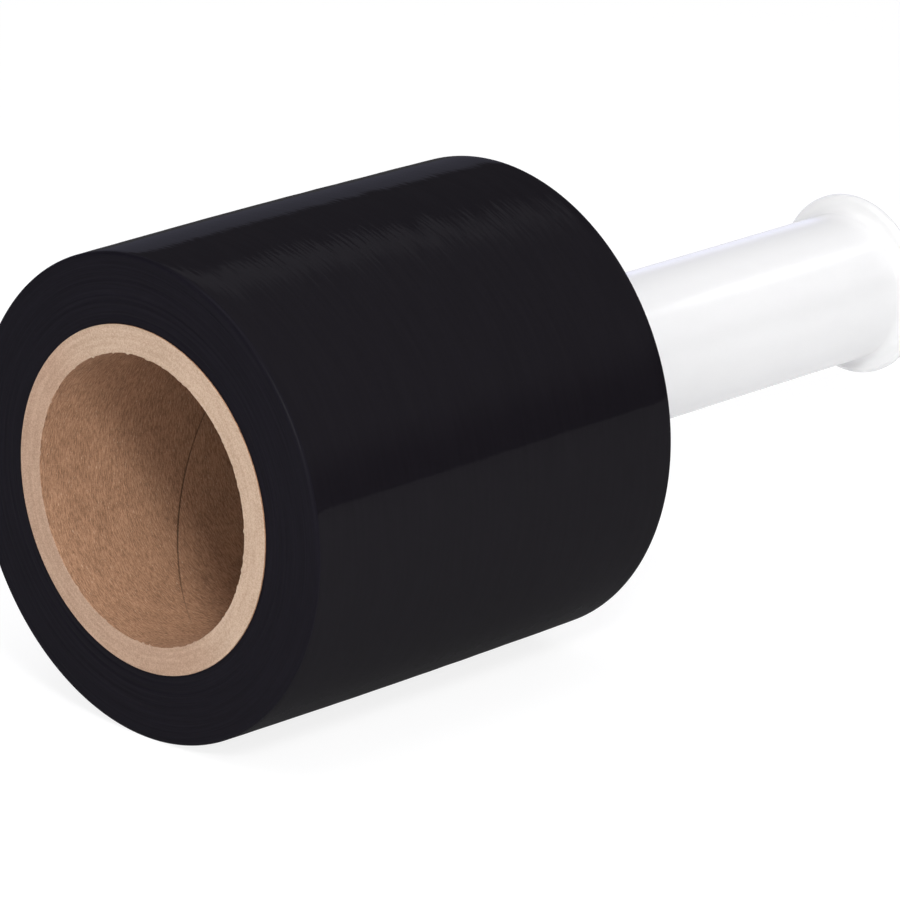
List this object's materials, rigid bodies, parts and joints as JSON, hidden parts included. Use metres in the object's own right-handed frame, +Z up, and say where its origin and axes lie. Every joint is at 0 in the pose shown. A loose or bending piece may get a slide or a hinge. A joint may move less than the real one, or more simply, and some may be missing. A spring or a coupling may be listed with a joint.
{
  "type": "stretch wrap roll",
  "caption": "Short roll of black stretch film on a paper core, with a white plastic handle plugged into one end, on which the roll spins.",
  "frame": {"origin": "on the floor under the middle of the film's width, at the centre of the flat that the roll rests on", "axes": "+Y along the roll's axis, from the open end of the core to the handle, +Z up, +X to the right"},
  "size_m": [0.1284, 0.2708, 0.128],
  "materials": {
    "black_film": "satin wound film",
    "brown_paperboard": "raw kraft paper",
    "white_plastic": "smooth moulded, slightly cloudy"
  },
  "bodies": {
    "roll": {"film_roll": "black_film", "paper_core": "brown_paperboard"},
    "handle": {"handle": "white_plastic"}
  },
  "joints": [
    {"name": "handle_spin", "type": "hinge", "parent": "roll", "child": "handle", "pos_m": [0, 0, 0.06375], "axis": [0, 1, 0], "continuous": true}
  ]
}
